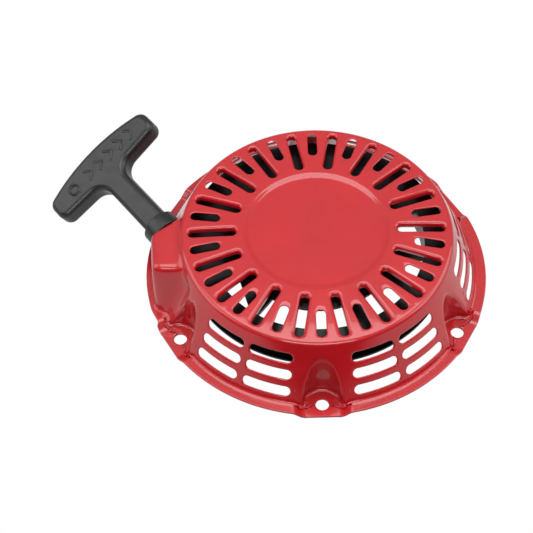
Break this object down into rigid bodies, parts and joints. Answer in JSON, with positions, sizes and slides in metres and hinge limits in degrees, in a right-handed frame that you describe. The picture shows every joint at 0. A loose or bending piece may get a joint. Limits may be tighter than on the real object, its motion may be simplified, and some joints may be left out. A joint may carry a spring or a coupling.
{
  "type": "recoil starter",
  "caption": "Pull-rope recoil starter for a small engine: slotted red pressed-steel cover, black T-grip, rope reel, spring and pawls inside.",
  "frame": {"origin": "on the crank axis, in the plane of the mounting tabs' undersides", "axes": "+Z along the crank axis away from the engine; the grip leaves towards -X +Y"},
  "size_m": [0.2419, 0.1864, 0.0448],
  "materials": {
    "cover_paint": "glossy red powder coat on pressed steel",
    "black_nylon": "moulded black nylon",
    "grip_plastic": "moulded black plastic, soft sheen",
    "rubber": "black rubber",
    "zinc_steel": "zinc-plated steel",
    "spring_steel": "blued spring steel",
    "rope": "braided black nylon rope",
    "pawl_plastic": "moulded natural nylon"
  },
  "bodies": {
    "cover": {"housing_shell": "cover_paint", "post_plate": "zinc_steel", "centre_post": "zinc_steel", "rope_guide": "zinc_steel", "rope_lead": "rope", "thrust_washer": "zinc_steel", "centre_screw": "zinc_steel", "friction_spring": "spring_steel"},
    "reel": {"reel": "black_nylon", "rope_winding": "rope", "reel_knot": "rope", "recoil_spring": "spring_steel", "pawl_pins": "zinc_steel", "pawl_spring_a": "spring_steel", "pawl_spring_b": "spring_steel"},
    "guide": {"ratchet_guide": "black_nylon"},
    "pawl_a": {"pawl_a": "pawl_plastic"},
    "pawl_b": {"pawl_b": "pawl_plastic"},
    "handle": {"grip": "grip_plastic", "grip_collar": "rubber", "grip_knot": "rope", "knot_washer": "zinc_steel", "rope_span": "rope"}
  },
  "joints": [
    {"name": "reel_spin", "type": "hinge", "parent": "cover", "child": "reel", "pos_m": [0, 0, 0.02], "axis": [0, 0, -1], "range_deg": [0, 995], "stiffness_Nm_per_rad": 0.02, "springref_deg": -687.55, "deforming": ["recoil_spring"]},
    {"name": "guide_lag", "type": "hinge", "parent": "reel", "child": "guide", "pos_m": [0, 0, 0.006], "axis": [0, 0, 1], "range_deg": [0, 20]},
    {"name": "pawl_a_swing", "type": "hinge", "parent": "reel", "child": "pawl_a", "pos_m": [0.021, 0, 0.009], "axis": [0, 0, 1], "range_deg": [0, 35]},
    {"name": "pawl_b_swing", "type": "hinge", "parent": "reel", "child": "pawl_b", "pos_m": [-0.021, 0, 0.009], "axis": [0, 0, 1], "range_deg": [0, 35]},
    {"name": "handle_pull", "type": "slide", "parent": "cover", "child": "handle", "axis": [-0.6, 0.8, 0], "range_m": [0, 1.1], "deforming": ["rope_span"]}
  ],
  "couplings": [
    {"joint": "handle_pull", "follows": "reel_spin", "m_per_rad": 0.063332},
    {"joint": "pawl_a_swing", "follows": "guide_lag", "ratio": 1.75},
    {"joint": "pawl_b_swing", "follows": "guide_lag", "ratio": 1.75}
  ]
}
